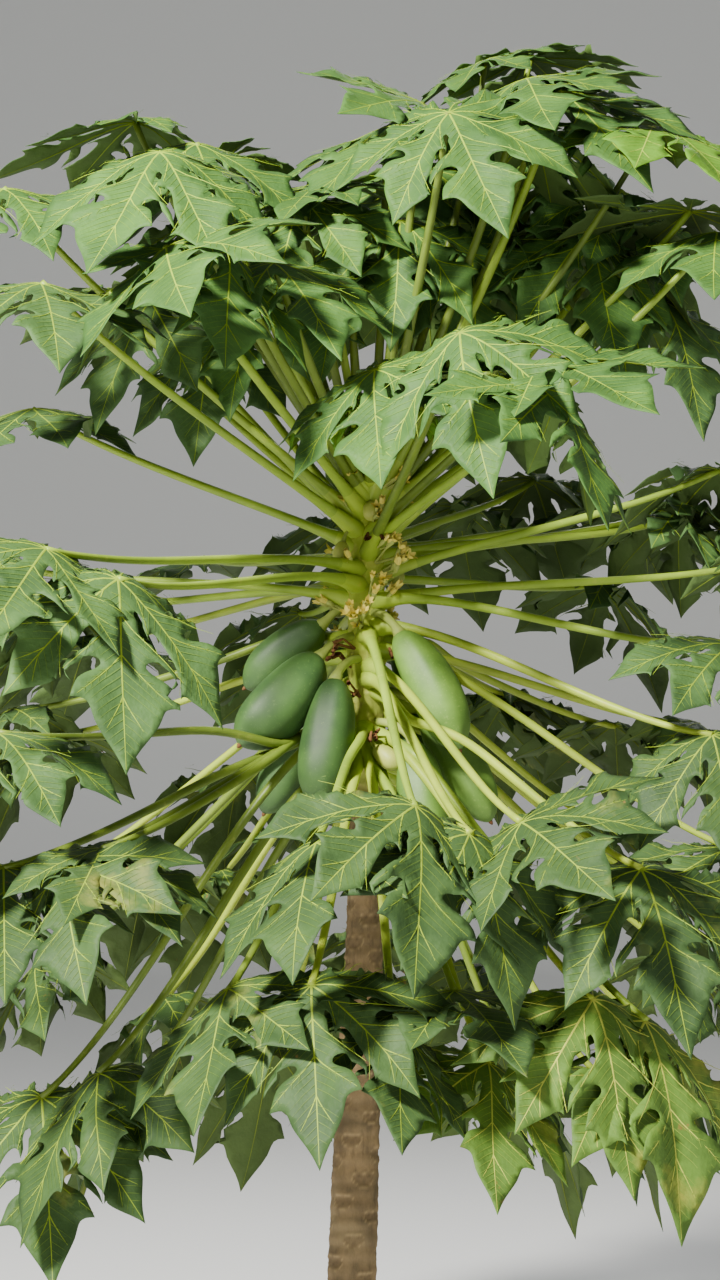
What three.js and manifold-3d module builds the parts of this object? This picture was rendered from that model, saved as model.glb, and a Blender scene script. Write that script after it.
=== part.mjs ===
// Papaya tree, whole plant above ground. Millimetres, +Z up, origin at the
// centre of the flat cut under the stem, +X to the right, -Y to the front.
import * as THREE from 'three';
import Module from 'manifold-3d';

const wasm = await Module();
wasm.setup();
const { Manifold, Mesh } = wasm;

// ---- driving dimensions (mm, degrees) ----
const STEM_TOP = 2375;            // height of the stem's own tip
// stations up the stem: height, lean to the right, lean to the back, radius
const STEM_STATIONS = [
  [0, 0, 0, 76], [45, 1, 0, 65], [150, 3, 0, 59], [570, 13, 2, 54],
  [1000, 30, 4, 47], [1420, 47, 4, 41], [1800, 46, 2, 38],
  [2100, 42, 0, 34], [2290, 53, 0, 27], [STEM_TOP, 57, 0, 13],
];
const STEM_SIDES = 9;
const STALK_BASE_R = 21;          // leaf stalk radius where it leaves the stem
const STALK_NECK_R = 16;          // just past the flared base
const STALK_END_R = 8.5;          // where it enters the blade
const STALK_SIDES = 4;
const STALK_PIECES = 3;
const BLADE_THICK = 8;
const BLADE_ARCH = 0.30;          // rise of the blade between hub and tip, share of its length
const BLADE_DROOP = 0.28;         // fall of the side lobes
const LINK_R = 7;                 // rib joining the blades of one mass
const GAP = 1.7;                 // clearance left between neighbouring solids
const TIP_HEIGHT = 190;           // bundle of young folded leaves at the stem's tip
const TIP_R = 30;

// lobes of a blade: angle from the middle lobe, length, points along its edge
const LOBES_FULL = [[-115, 0.55, 1], [-78, 0.80, 1], [-42, 0.95, 3], [0, 1.0, 3], [42, 0.95, 3], [78, 0.80, 1], [115, 0.55, 1]];
const LOBES_PLAIN = [[-92, 0.74, 1], [-44, 0.95, 1], [0, 1.0, 3], [44, 0.95, 1], [92, 0.74, 1]];

// leaves: foliage node, height on the stem, direction of the stalk, its reach
// and climb, length of the blade, way the blade faces, its hang, its roll
const LEAVES = [
  [1, 2295, -35, 502, 863, 360, -56, 45, 15],
  [1, 2320, -40, 438, 864, 320, -85, 33, 15],
  [2, 2268, -160, 858, 678, 340, -104, 40, 0],
  [2, 2313, -169, 528, 826, 330, 127, -15, -50],
  [3, 2212, -19, 794, 646, 330, -102, 34, -5],
  [3, 2279, -26, 677, 802, 350, -56, 37, 0],
  [4, 2302, -70, 478, 763, 340, -60, 56, 55],
  [5, 2318, -149, 438, 744, 330, -70, 53, 5],
  [5, 2349, -124, 198, 640, 240, -110, 32, 0],
  [6, 2240, 128, 720, 450, 340, 132, 50, 0],
  [6, 2280, 96, 460, 700, 340, 100, 48, 0],
  [7, 2235, -144, 828, 466, 340, -74, 39, 0],
  [7, 2302, -128, 693, 650, 360, -116, 49, -10],
  [8, 2268, -2, 545, 613, 388, 83, 24, 30],
  [9, 2279, -123, 747, 465, 364, -79, 32, 35],
  [9, 2302, -118, 616, 445, 340, -89, 49, -30],
  [10, 2205, 57, 764, 236, 350, 64, 48, -5],
  [10, 2220, 62, 680, 500, 340, 58, 50, 0],
  [11, 2185, -75, 708, 372, 360, -77, 63, 30],
  [11, 2336, -89, 555, 169, 310, -88, 52, 25],
  [12, 2205, 179, 800, 315, 340, -113, 31, 0],
  [13, 2205, -64, 810, 224, 360, -68, 49, -30],
  [14, 2138, 8, 883, 259, 340, 67, 43, 0],
  [15, 2150, 93, 820, 200, 350, 92, 55, 0],
  [16, 2152, -129, 980, -31, 360, -104, 33, -40],
  [16, 2118, -121, 918, -56, 380, -83, 64, -15],
  [17, 2112, 139, 897, -70, 340, 112, 39, 0],
  [17, 2100, 150, 860, 20, 350, 152, 50, 0],
  [18, 2083, -34, 891, -129, 335, -78, 50, -20],
  [18, 2027, -33, 843, -253, 310, -82, 59, 5],
  [19, 2050, 70, 800, -150, 350, 68, 55, 0],
  [20, 2083, -144, 931, -307, 360, -104, 40, 0],
  [20, 1889, -134, 863, -373, 330, -71, 44, 40],
  [21, 1980, 112, 820, -250, 360, 110, 58, 0],
  [21, 1820, 88, 700, -500, 350, 86, 60, 0],
  [22, 2009, -83, 771, -382, 380, -89, 57, -30],
  [22, 1911, -75, 771, -334, 353, -51, 71, 0],
  [23, 1889, -50, 837, -382, 380, -72, 56, 5],
  [23, 1938, -67, 768, -339, 340, -65, 22, 35],
  [24, 1889, -98, 707, -329, 350, -99, 42, 20],
  [25, 1900, 155, 780, -420, 350, 158, 60, 0],
  [26, 1860, 30, 800, -420, 350, 28, 58, 0],
  [27, 1867, -99, 686, -583, 360, -82, 54, 25],
  [27, 1767, -85, 620, -567, 310, -88, 39, -55],
  [28, 1767, -47, 806, -557, 410, -75, 65, -50],
  [28, 1789, -56, 784, -536, 363, -68, 65, -5],
  [29, 1833, -166, 711, -821, 380, -74, 61, 10],
];

// ---- helpers ----
const rad = (d) => d * Math.PI / 180;
const V = (x, y, z) => new THREE.Vector3(x, y, z);
const lerp = (a, b, t) => a + (b - a) * t;

function stemAt(z) {
  const s = STEM_STATIONS;
  let i = 0;
  while (i < s.length - 2 && z > s[i + 1][0]) i++;
  const t = Math.min(1, Math.max(0, (z - s[i][0]) / (s[i + 1][0] - s[i][0])));
  return { x: lerp(s[i][1], s[i + 1][1], t), y: lerp(s[i][2], s[i + 1][2], t), r: lerp(s[i][3], s[i + 1][3], t) };
}

function solid(points, faces) {
  const vertProperties = new Float32Array(points.length * 3);
  points.forEach((p, i) => vertProperties.set([p.x, p.y, p.z], i * 3));
  const build = (flip) => Manifold.ofMesh(new Mesh({
    numProp: 3, vertProperties,
    triVerts: new Uint32Array(faces.flatMap(([a, b, c]) => (flip ? [a, c, b] : [a, b, c]))),
  }));
  const m = build(false);
  return m.volume() > 0 ? m : build(true);
}

// closed solid through rings of equal point count
function skin(rings) {
  const n = rings[0].length;
  const points = rings.flat();
  const faces = [];
  for (let i = 0; i < rings.length - 1; i++) {
    for (let j = 0; j < n; j++) {
      const a = i * n + j, b = i * n + (j + 1) % n, c = a + n, d = b + n;
      faces.push([a, b, d], [a, d, c]);
    }
  }
  const top = (rings.length - 1) * n;
  for (let j = 1; j < n - 1; j++) faces.push([0, j + 1, j], [top, top + j, top + j + 1]);
  return solid(points, faces);
}

function tube(path, radius, pieces, sides, grow) {
  const rings = [];
  for (let i = 0; i <= pieces; i++) {
    const t = i / pieces;
    const p = path(t);
    const d = path(Math.min(1, t + 0.01)).sub(path(Math.max(0, t - 0.01))).normalize();
    const u = V(0, 0, 1).cross(d).normalize();
    const w = d.clone().cross(u);
    const r = radius(t) + grow;
    p.addScaledVector(d, i === 0 ? -grow : (i === pieces ? grow : 0));
    rings.push(Array.from({ length: sides }, (_, j) => {
      const a = 2 * Math.PI * (j + 0.5) / sides;
      return p.clone().addScaledVector(u, r * Math.cos(a)).addScaledVector(w, r * Math.sin(a));
    }));
  }
  return skin(rings);
}

const largest = (m) => {
  const parts = m.decompose();
  return parts.reduce((a, b) => (b.volume() > a.volume() ? b : a));
};

// ---- stem: true taper and lean, flared at the ground, uneven by leaf scars ----
function stem(grow) {
  const rings = STEM_STATIONS.map(([z, x, y, r], i) => Array.from({ length: STEM_SIDES }, (_, j) => {
    const a = 2 * Math.PI * (j + 0.5) / STEM_SIDES;
    const uneven = 1 + (i === 0 ? 0.06 * Math.cos(4 * a + 0.6) : 0.02 * Math.cos(3 * a + 1.7 * i));
    const rr = r * uneven + grow;
    const zz = i === 0 ? z - grow : (i === STEM_STATIONS.length - 1 ? z + grow : z);
    return V(x + rr * Math.cos(a), y + rr * Math.sin(a), zz);
  }));
  return skin(rings);
}

// ---- leaf stalk: one tapering limb from the stem to the hub of its blade ----
function leafHub([, h, dir, reach, climb]) {
  const c = stemAt(h);
  return V(c.x + reach * Math.cos(rad(dir)), c.y + reach * Math.sin(rad(dir)), h + climb);
}

function stalkPath(leaf) {
  const [, h, dir, reach, climb] = leaf;
  const c = stemAt(h);
  const out = V(Math.cos(rad(dir)), Math.sin(rad(dir)), 0);
  const start = V(c.x, c.y, h).addScaledVector(out, c.r * 0.5);
  const end = leafHub(leaf);
  const span = Math.hypot(reach, climb);
  const slope = Math.atan2(climb, reach) * 180 / Math.PI;
  const lift = Math.min(30, Math.max(-4, 14 - 0.45 * slope));
  const along = (deg) => out.clone().multiplyScalar(Math.cos(rad(deg))).add(V(0, 0, Math.sin(rad(deg))));
  const p1 = start.clone().addScaledVector(along(slope + lift), span * 0.24);
  const p2 = end.clone().addScaledVector(along(slope + 9), -span * 0.3);
  return new THREE.CubicBezierCurve3(start, p1, p2, end);
}

function stalk(leaf, grow) {
  const curve = stalkPath(leaf);
  const radius = (t) => (t < 0.2
    ? lerp(STALK_BASE_R, STALK_NECK_R, t / 0.2)
    : lerp(STALK_NECK_R, STALK_END_R, (t - 0.2) / 0.8));
  return tube((t) => curve.getPoint(t), radius, STALK_PIECES, STALK_SIDES, grow);
}

// ---- blade: outline of lobes, arched from hub to tip and drooping at the sides ----
function bladeOutline(lobes) {
  const out = [];                 // { x, y, lobe } in shares of the blade's length
  const notch = { x: -0.05, y: 0 };
  lobes.forEach(([angle, length, count], i) => {
    const a = rad(angle);
    const at = (s, w) => ({
      x: length * (s * Math.cos(a) - w * Math.sin(a)),
      y: length * (s * Math.sin(a) + w * Math.cos(a)), lobe: i,
    });
    const halfGap = (k) => (lobes[k] ? rad(Math.abs(lobes[k][0] - angle) / 2) : rad(32));
    const side = (k, s) => Math.min(0.29, s * Math.tan(halfGap(k)) * 0.86);
    if (count >= 3) out.push(at(0.60, -side(i - 1, 0.60)));
    if (count >= 5) out.push(at(0.69, -0.14));
    out.push(at(1, 0));
    if (count >= 5) out.push(at(0.69, 0.14));
    if (count >= 3) out.push(at(0.60, side(i + 1, 0.60)));
    if (lobes[i + 1]) {
      const m = rad((angle + lobes[i + 1][0]) / 2);
      const r = 0.27 * Math.min(length, lobes[i + 1][1]);
      out.push({ x: r * Math.cos(m), y: r * Math.sin(m), sinus: i });
    }
  });
  out.push({ ...notch, sinus: lobes.length - 1 });
  return out;
}

function blade(leaf, lobes, grow) {
  const [, , , , , length, facing, hang, roll] = leaf;
  const hub = leafHub(leaf);
  const h = rad(facing), p = rad(hang), q = rad(roll);
  const ahead = V(Math.cos(h) * Math.cos(p), Math.sin(h) * Math.cos(p), -Math.sin(p));
  const level = V(-Math.sin(h), Math.cos(h), 0);
  const normal = ahead.clone().cross(level);
  const left = level.clone().multiplyScalar(Math.cos(q)).addScaledVector(normal, Math.sin(q));
  const face = level.clone().multiplyScalar(-Math.sin(q)).addScaledVector(normal, Math.cos(q));

  const edge = bladeOutline(lobes);
  const n = edge.length;
  const flat = edge.map((e, i) => {
    if (!grow) return e;
    const a = edge[(i + n - 1) % n], b = edge[(i + 1) % n];
    const d1 = V(e.y - a.y, a.x - e.x, 0).normalize(), d2 = V(b.y - e.y, e.x - b.x, 0).normalize();
    const m = d1.clone().add(d2);
    const k = Math.min(2, 2 / m.lengthSq());
    return { ...e, x: e.x + m.x * k * grow / length, y: e.y + m.y * k * grow / length };
  });
  const inner = [{ x: 0, y: 0 }];
  lobes.forEach(([angle, l]) => inner.push({ x: 0.5 * l * Math.cos(rad(angle)), y: 0.5 * l * Math.sin(rad(angle)) }));
  const all = [...flat, ...inner];
  const place = ({ x, y }, off) => {
    const r = Math.hypot(x, y);
    const z = BLADE_ARCH * (r - r * r) - BLADE_DROOP * y * y;
    return hub.clone().addScaledVector(ahead, x * length).addScaledVector(left, y * length).addScaledVector(face, z * length + off);
  };
  const half = BLADE_THICK / 2 + 2.2 * grow;
  const points = [...all.map((e) => place(e, half)), ...all.map((e) => place(e, -half))];
  const m = all.length;
  const hubI = n, mid = (i) => n + 1 + i;
  const faces = [];
  const add = (a, b, c) => faces.push([a, b, c], [a + m, c + m, b + m]);
  for (let i = 0; i < n; i++) {
    const j = (i + 1) % n;
    const lobe = edge[i].lobe !== undefined ? edge[i].lobe : edge[j].lobe;
    add(mid(lobe), i, j);
    faces.push([i, i + m, j + m], [i, j + m, j]);
  }
  edge.forEach((e, i) => {
    if (e.sinus === undefined) return;
    const next = (e.sinus + 1) % lobes.length;
    add(hubI, mid(e.sinus), i);
    add(hubI, i, mid(next));
  });
  return solid(points, faces);
}

function link(a, b, grow) {
  const p = leafHub(a), q = leafHub(b);
  return tube((t) => p.clone().lerp(q, t), () => LINK_R, 1, 3, grow);
}

// blades that cross are one solid already, others are joined by a rib
function foliage(leaves, grow) {
  const shape = (i, g) => blade(leaves[i], i ? LOBES_PLAIN : LOBES_FULL, g);
  let m = shape(0, grow), bare = shape(0, 0);
  for (let i = 1; i < leaves.length; i++) {
    m = m.add(shape(i, grow));
    bare = bare.add(shape(i, 0));
    if (bare.decompose().length > 1) {
      m = m.add(link(leaves[i - 1], leaves[i], grow));
      bare = bare.add(link(leaves[i - 1], leaves[i], 0));
    }
  }
  return m;
}

// ---- bundle of young folded leaves standing on the stem's tip ----
function youngTip(grow) {
  const c = stemAt(STEM_TOP);
  const steps = [[-0.02, 0.62], [0.16, 1.0], [0.42, 0.86], [0.7, 0.5], [1, 0.12]];
  const rings = steps.map(([t, k], i) => Array.from({ length: 9 }, (_, j) => {
    const a = 2 * Math.PI * j / 9 + 0.35 * i;
    const r = TIP_R * k * (1 + 0.22 * Math.cos(3 * a - i)) + grow;
    return V(c.x + 14 * t + r * Math.cos(a), c.y - 6 * t + r * Math.sin(a), STEM_TOP + 8 + TIP_HEIGHT * t + (i === 0 ? -grow : 0));
  }));
  return skin(rings);
}

// ---- assembly: each solid is cut back by the grown shapes of those before it ----
const group = new THREE.Group();
group.name = 'papaya_tree';

const LOOK = {
  wood: { color: 0x9a8467, roughness: 0.85 },
  stalk: { color: 0xa9b65c, roughness: 0.6 },
  leaf: { color: 0x4d7a3c, roughness: 0.55 },
};

function toMesh(name, m, look) {
  const { vertProperties, triVerts } = m.getMesh();
  const g = new THREE.BufferGeometry();
  g.setAttribute('position', new THREE.BufferAttribute(new Float32Array(vertProperties), 3));
  g.setIndex(new THREE.BufferAttribute(new Uint32Array(triVerts), 1));
  g.computeVertexNormals();
  const mesh = new THREE.Mesh(g, new THREE.MeshStandardMaterial({ ...LOOK[look], flatShading: true }));
  mesh.name = name;
  group.add(mesh);
}

const boxes = (a, b) => {
  const p = a.boundingBox(), q = b.boundingBox();
  return [0, 1, 2].every((k) => p.min[k] <= q.max[k] && q.min[k] <= p.max[k]);
};
const placed = {};                // grown copies of what stands already
function put(name, look, make, own) {
  let m = make(0);
  for (const [key, other] of Object.entries(placed)) {
    if (key !== own && boxes(m, other)) m = m.subtract(other);
  }
  m = largest(largest(m).simplify(0.5));
  toMesh(name, m, look);
  placed[name] = make(GAP);
}

const pad = (k) => String(k).padStart(2, '0');
const nodes = [...new Set(LEAVES.map((l) => l[0]))];
const own = (k) => LEAVES.filter((l) => l[0] === k);
put('stem', 'wood', stem);
put('young_tip', 'leaf', youngTip);
for (const k of nodes) {          // a stalk stops at the underside of its own blade
  put(`leaf_stalk_${pad(k)}`, 'stalk', (grow) => {
    const s = stalk(own(k)[0], grow);
    return grow ? s : largest(s.subtract(foliage(own(k), GAP)));
  });
}
for (const k of nodes) {
  put(`${own(k).length > 1 ? 'leaf_mass' : 'leaf_blade'}_${pad(k)}`, 'leaf',
    (grow) => foliage(own(k), grow), `leaf_stalk_${pad(k)}`);
}

export default group;
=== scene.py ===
# Papaya tree: bark, leaf stalks, lobed leaf blades, fruit, flowers and young shoot.
# Metres, +Z up, origin at the centre of the flat cut under the stem.
import math
import numpy as np
import bpy
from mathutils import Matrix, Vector, geometry


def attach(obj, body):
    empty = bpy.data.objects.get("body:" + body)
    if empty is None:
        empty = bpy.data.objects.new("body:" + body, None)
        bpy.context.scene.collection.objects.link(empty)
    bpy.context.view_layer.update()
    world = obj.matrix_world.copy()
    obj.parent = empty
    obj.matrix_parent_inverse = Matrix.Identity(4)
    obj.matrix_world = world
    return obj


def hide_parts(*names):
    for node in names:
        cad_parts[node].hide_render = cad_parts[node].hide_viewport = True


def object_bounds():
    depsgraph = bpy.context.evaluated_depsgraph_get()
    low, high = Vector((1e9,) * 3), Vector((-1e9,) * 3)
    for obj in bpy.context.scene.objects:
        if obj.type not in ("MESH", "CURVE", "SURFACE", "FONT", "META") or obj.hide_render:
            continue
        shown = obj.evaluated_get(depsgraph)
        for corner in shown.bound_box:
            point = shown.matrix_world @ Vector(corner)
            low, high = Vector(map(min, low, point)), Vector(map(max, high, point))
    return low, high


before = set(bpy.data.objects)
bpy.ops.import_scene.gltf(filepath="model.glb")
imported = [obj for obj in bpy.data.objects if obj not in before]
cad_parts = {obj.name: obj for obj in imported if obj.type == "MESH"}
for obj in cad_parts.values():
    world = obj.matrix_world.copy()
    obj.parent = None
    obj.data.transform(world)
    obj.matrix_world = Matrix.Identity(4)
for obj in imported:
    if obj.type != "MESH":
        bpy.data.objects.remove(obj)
CAD_BOX = [[float(c) for c in p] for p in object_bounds()]
NODES = sorted(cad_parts)

# ---------------------------------------------------------------- sizes
STEM = [  # height, lean right, lean back, radius
    (0.0, 0.0, 0.0, 0.076), (0.045, 0.001, 0.0, 0.065), (0.15, 0.003, 0.0, 0.059), (0.57, 0.013, 0.002, 0.054),
    (1.0, 0.030, 0.004, 0.047), (1.42, 0.047, 0.004, 0.041), (1.8, 0.046, 0.002, 0.038),
    (2.1, 0.042, 0.0, 0.034), (2.29, 0.053, 0.0, 0.027), (2.375, 0.057, 0.0, 0.013)]
BLADE_ARCH, BLADE_DROOP = 0.30, 0.28

# leaves: height on the stem, direction of the stalk, its reach and climb,
# length of the blade (mm), way it faces, its hang, its roll (degrees), its age 0 to 1
LEAVES = [
    (2295, -35, 502, 863, 360, -56, 45, 15, 0.2),
    (2320, -40, 438, 864, 320, -85, 33, 15, 0.2),
    (2286, -31, 415, 799, 330, 73, 34, 20, 0.3),
    (2302, -70, 478, 763, 340, -60, 56, 30, 0.2),
    (2336, -65, 260, 813, 300, -124, 17, -35, 0.2),
    (2313, -169, 528, 826, 330, 172, 20, 0, 0.3),
    (2318, -149, 438, 744, 330, -70, 53, 5, 0.3),
    (2349, -124, 198, 640, 240, -110, 32, 0, 0.1),
    (2212, -19, 794, 646, 330, -102, 34, -5, 0.35),
    (2273, -20, 734, 633, 330, 114, 12, 10, 0.4),
    (2279, -26, 677, 802, 350, -56, 37, 0, 0.05),
    (2220, 62, 680, 500, 340, 58, 50, 0, 0.35),
    (2280, 96, 460, 700, 340, 100, 48, 0, 0.25),
    (2279, -123, 747, 465, 364, -79, 32, 35, 0.35),
    (2302, -128, 693, 650, 360, -116, 49, -10, 0.3),
    (2268, -160, 858, 678, 340, -104, 40, 0, 0.35),
    (2235, -144, 828, 466, 340, -74, 39, 0, 0.4),
    (2205, 179, 800, 315, 340, -113, 31, 0, 0.45),
    (2138, 8, 883, 259, 340, 67, 43, 0, 0.4),
    (2268, -2, 545, 613, 388, 83, 24, 30, 0.4),
    (2246, 159, 651, 592, 330, 96, 22, 0, 0.4),
    (2302, -118, 616, 445, 340, -89, 49, -30, 0.3),
    (2313, -112, 528, 429, 330, -58, 42, 10, 0.25),
    (2185, -75, 708, 372, 360, -77, 63, 30, 0.3),
    (2336, -89, 555, 169, 310, -88, 52, 25, 0.2),
    (2205, -64, 810, 224, 360, -68, 49, -30, 0.35),
    (2228, -63, 751, 274, 340, -55, 23, 20, 0.3),
    (2179, 43, 839, 187, 340, 55, 35, 5, 0.5),
    (2205, 57, 764, 236, 350, 64, 48, -5, 0.5),
    (2150, 93, 820, 200, 350, 92, 55, 0, 0.45),
    (2172, 122, 756, 77, 330, 118, 12, -10, 0.5),
    (2152, -129, 980, -31, 360, -104, 33, -25, 0.5),
    (2118, -121, 918, -56, 380, -83, 64, -15, 0.5),
    (2112, 139, 897, -70, 340, 112, 39, 0, 0.55),
    (2100, 150, 860, 20, 350, 152, 50, 0, 0.5),
    (2083, -34, 891, -129, 335, -78, 50, -20, 0.5),
    (1978, -9, 809, -441, 340, -105, 36, -15, 0.6),
    (2027, -33, 843, -253, 310, -82, 59, 5, 0.6),
    (2050, 70, 800, -150, 350, 68, 55, 0, 0.6),
    (1989, 41, 804, -161, 326, 82, 41, 10, 0.65),
    (1800, -144, 931, -24, 360, -104, 40, 0, 0.55),
    (1800, -142, 915, -293, 340, -81, 42, 0, 0.7),
    (1980, 112, 820, -250, 360, 110, 58, 0, 0.65),
    (1820, 88, 700, -500, 350, 86, 60, 0, 0.77),
    (1889, 101, 729, -276, 310, -111, 14, 20, 0.6),
    (2009, -83, 771, -382, 380, -89, 57, -30, 0.6),
    (1911, -75, 771, -334, 353, -51, 71, 0, 0.65),
    (1800, -98, 707, -240, 350, -99, 42, 20, 0.65),
    (1889, -50, 837, -382, 380, -72, 56, 5, 0.75),
    (1938, -67, 768, -339, 340, -65, 22, 35, 0.6),
    (1800, -134, 863, -284, 330, -71, 44, 40, 0.75),
    (1800, -131, 795, -255, 284, -49, 36, 5, 0.6),
    (1900, 155, 780, -420, 350, 158, 60, 0, 0.7),
    (1889, 134, 754, -414, 330, 110, 52, 0, 0.7),
    (1860, 30, 800, -420, 350, 28, 58, 0, 0.7),
    (1711, 39, 463, -701, 374, 29, 68, 0, 0.75),
    (1745, -99, 686, -461, 360, -82, 54, 25, 0.75),
    (1745, -115, 642, -477, 340, -99, 42, 30, 0.75),
    (1767, -85, 620, -567, 310, -88, 39, -30, 0.77),
    (1767, -74, 626, -498, 300, -65, 25, 0, 0.77),
    (1734, -65, 570, -617, 316, -91, 48, -30, 0.95),
    (1767, -47, 806, -557, 410, -75, 65, -25, 0.95),
    (1789, -56, 784, -536, 363, -68, 65, -5, 0.85),
    (1833, -166, 711, -821, 380, -74, 61, 10, 0.7),
    (2300, 75, 520, 640, 330, 80, 50, 0, 0.2),
    (2290, 120, 430, 760, 320, 125, 48, 10, 0.2),
    (2160, 25, 830, 180, 340, 22, 52, -10, 0.45),
    (2060, 100, 800, -60, 350, 104, 52, 10, 0.55),
    (2000, 165, 850, -150, 350, 168, 55, 0, 0.6),
    (1930, 45, 790, -330, 350, 48, 58, -10, 0.65),
    (1880, 118, 760, -420, 350, 122, 60, 0, 0.7),
    (1800, 65, 650, -560, 340, 60, 62, 5, 0.77),
    (1780, 140, 620, -600, 340, 145, 62, -5, 0.77),
    (2250, 85, 760, 420, 345, 82, 52, -8, 0.35),
    (2120, 45, 830, 60, 350, 42, 54, 8, 0.5),
    (2290, 50, 560, 780, 340, 50, 52, 0, 0.24),
    (2270, 35, 700, 700, 340, 35, 55, 0, 0.3),
    (2330, 80, 200, 650, 330, 80, 50, 0, 0.24),
    (2300, 140, 350, 700, 330, 140, 50, 0, 0.25),
    (2310, 10, 330, 600, 330, 20, 58, 0, 0.24),
    (2345, 40, 330, 905, 320, -60, 24, 0, 0.12),
    (2340, -10, 430, 885, 330, -10, 24, 10, 0.15),
    (2290, 20, 560, 700, 340, 20, 40, 0, 0.25),
    (2300, 150, 420, 720, 330, 150, 42, 0, 0.25),
    (2310, 60, 300, 800, 320, 60, 35, 0, 0.2),
    (2310, 170, 330, 790, 320, 165, 35, 0, 0.2),
    (1840, 165, 760, -560, 350, 165, 60, 0, 0.75),
    (1840, 15, 760, -560, 350, 15, 60, 0, 0.75),
    (1760, 95, 600, -640, 350, 95, 64, 0, 0.78),
    (1760, -150, 640, -680, 350, -145, 62, 0, 0.78),
    (1720, 170, 520, -700, 350, 170, 66, 0, 0.78),
    (1720, 10, 520, -680, 350, 5, 66, 0, 0.78),
    (1700, 120, 420, -640, 340, 120, 66, 0, 0.78),
    (1740, -20, 700, -640, 350, -15, 62, 0, 0.78),
    (2330, -71, 105, 799, 320, -128, 42, 0, 0.15),
    (2310, -126, 247, 633, 310, -112, 58, 0, 0.25),
    (2300, -67, 173, 604, 320, -95, 64, 0, 0.3),
    (2290, -113, 108, 539, 310, -112, 62, 10, 0.32),
    (2310, 7, 409, 792, 330, -78, 62, 0, 0.25),
    (2290, -12, 493, 597, 340, -72, 64, 0, 0.3),
    (2300, 12, 234, 601, 330, -85, 66, 0, 0.3),
    (2250, -4, 656, 504, 340, -60, 64, 0, 0.4),
    (2300, 0, 569, 715, 330, -55, 56, 0, 0.25),
    (2320, 46, 209, 780, 320, -92, 62, 0, 0.2),
    (2270, -175, 239, 509, 320, -118, 64, 0, 0.35),
    (2240, -168, 490, 504, 330, -125, 62, 0, 0.4),
    (2255, 161, 370, 460, 320, -105, 68, 0, 0.4),
    (2345, 18, 389, 1005, 300, 60, 10, 0, 0.12),
    (2350, 4, 261, 965, 240, -110, 30, 15, 0.1),
    (2080, 3, 992, 104, 340, 5, 52, 0, 0.5),
    (2085, 177, 954, 99, 340, 178, 52, 0, 0.5),
    (2180, 24, 800, 130, 340, 22, 50, 0, 0.45),
    (1970, 20, 830, -150, 350, 18, 56, 8, 0.6),
    (2190, 72, 740, 190, 340, 74, 52, 0, 0.45),
    (2020, 62, 780, -110, 350, 60, 54, -6, 0.55),
    (1960, 152, 840, -160, 350, 150, 56, 0, 0.6),
    (2100, 102, 760, 20, 345, 104, 54, 6, 0.5),

]

def rad(d):
    return d * math.pi / 180.0

def stem_at(z):
    hs = [s[0] for s in STEM]
    return tuple(float(np.interp(z, hs, [s[k] for s in STEM])) for k in (1, 2, 3))

def srgb(r, g, b):
    out = []
    for c in (r, g, b):
        c /= 255.0
        out.append(c / 12.92 if c <= 0.04045 else ((c + 0.055) / 1.055) ** 2.4)
    return (*out, 1.0)

# ---------------------------------------------------------------- mesh helpers
class Bag:
    """collects triangles and quads of one kind into one mesh"""
    def __init__(self):
        self.v, self.f, self.m, self.uv, self.n = [], [], [], [], 0
    def add(self, verts, faces, mats, uv=None):
        self.v.append(np.asarray(verts, dtype=np.float64))
        self.f.extend([tuple(int(i) + self.n for i in f) for f in faces])
        self.m.extend([mats] * len(faces) if isinstance(mats, int) else [int(k) for k in mats])
        self.uv.append(np.zeros((len(verts), 2)) if uv is None else np.asarray(uv))
        self.n += len(verts)
    def tris(self):
        return sum(len(f) - 2 for f in self.f)
    def make(self, name, materials, smooth=True):
        me = bpy.data.meshes.new(name)
        me.from_pydata(np.concatenate(self.v).tolist(), [], self.f)
        for m in materials:
            me.materials.append(m)
        me.polygons.foreach_set("material_index", self.m)
        me.polygons.foreach_set("use_smooth", [smooth] * len(self.f))
        layer = me.uv_layers.new(name="UVMap")
        uv = np.concatenate(self.uv)
        idx = np.zeros(len(me.loops), dtype=np.int32)
        me.loops.foreach_get("vertex_index", idx)
        layer.data.foreach_set("uv", uv[idx].astype(np.float32).ravel())
        me.validate(clean_customdata=False)
        me.update()
        ob = bpy.data.objects.new(name, me)
        bpy.context.scene.collection.objects.link(ob)
        return ob

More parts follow.
